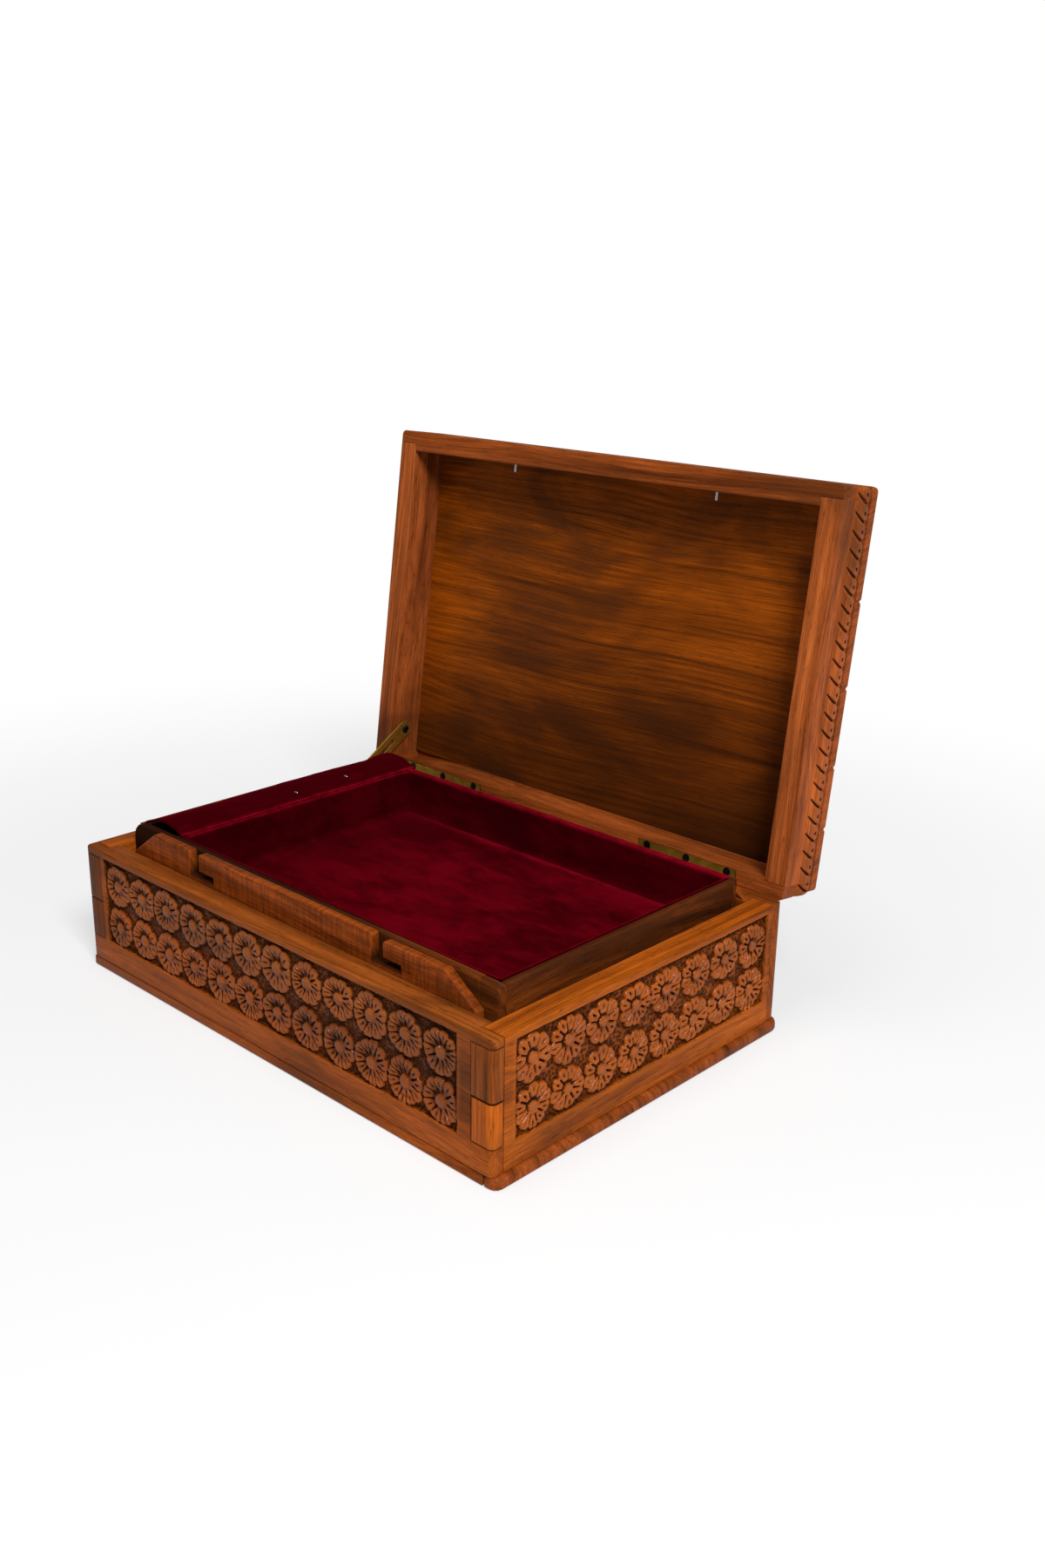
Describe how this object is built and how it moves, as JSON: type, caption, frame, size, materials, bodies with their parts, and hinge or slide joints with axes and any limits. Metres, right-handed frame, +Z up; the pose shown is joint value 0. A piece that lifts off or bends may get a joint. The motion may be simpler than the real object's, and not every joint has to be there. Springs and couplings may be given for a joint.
{
  "type": "jewellery box",
  "caption": "Carved walnut jewellery box with a hinged lid on a slotted brass stay, a velvet-lined tray and a hidden sliding lock bar.",
  "frame": {"origin": "middle of the case's footprint, on the underside of the base", "axes": "+X to the right along the front, +Y to the back, +Z up"},
  "size_m": [0.3092, 0.2592, 0.2715],
  "materials": {
    "walnut": "hand carved walnut, thin shellac polish",
    "walnut_red": "reddish walnut, thin shellac polish",
    "walnut_dark": "dark walnut, rubbed oil",
    "velvet": "crimson velvet pile",
    "brass": "rolled brass, slightly tarnished",
    "steel": "dark steel screws and pins"
  },
  "bodies": {
    "case": {"base_plate": "walnut", "base_front_strip": "walnut", "front_board_upper": "walnut", "front_board_lower": "walnut", "back_board": "walnut", "left_board": "walnut", "right_board": "walnut", "corner_block_left_lower": "walnut", "corner_block_left_upper": "walnut", "corner_block_right_upper": "walnut", "lock_bar_guide": "walnut_dark", "tray_bearer_front": "walnut_dark", "tray_bearer_back": "walnut_dark", "tray_floor": "walnut_dark", "tray_front_wall": "walnut_dark", "tray_back_wall": "walnut_dark", "tray_left_wall": "walnut_dark", "tray_right_wall": "walnut_dark", "velvet_floor": "velvet", "velvet_front": "velvet", "velvet_back": "velvet", "velvet_left": "velvet", "velvet_right": "velvet", "ledge_batten": "walnut_dark", "velvet_ledge": "velvet", "hinge_left_case_leaf": "brass", "hinge_right_case_leaf": "brass", "hinge_left_pin": "brass", "hinge_right_pin": "brass", "hinge_case_screws": "steel", "stay_slot_pin": "steel"},
    "lid": {"lid_front_rail": "walnut_red", "lid_back_rail": "walnut_red", "lid_left_rail": "walnut_red", "lid_right_rail": "walnut_red", "lid_inner_panel": "walnut_dark", "lid_top_board": "walnut_red", "lock_pins": "steel", "hinge_left_lid_leaf": "brass", "hinge_right_lid_leaf": "brass", "hinge_lid_screws": "steel", "stay_pivot_screw": "steel"},
    "stay": {"stay_arm": "brass"},
    "lock_slide": {"lock_bar": "walnut", "corner_key": "walnut", "key_link": "walnut"}
  },
  "joints": [
    {"name": "lid_hinge", "type": "hinge", "parent": "case", "child": "lid", "pos_m": [0, 0.1016, 0.07015], "axis": [1, 0, 0], "range_deg": [0, 97.5]},
    {"name": "stay_pivot", "type": "hinge", "parent": "lid", "child": "stay", "pos_m": [-0.1385, 0.11439, 0.09221], "axis": [1, 0, 0], "range_deg": [-48.75, 0]},
    {"name": "lock_slide_travel", "type": "slide", "parent": "case", "child": "lock_slide", "axis": [1, 0, 0], "range_m": [0, 0.0095]}
  ],
  "couplings": [
    {"joint": "stay_pivot", "follows": "lid_hinge", "ratio": -0.5}
  ]
}
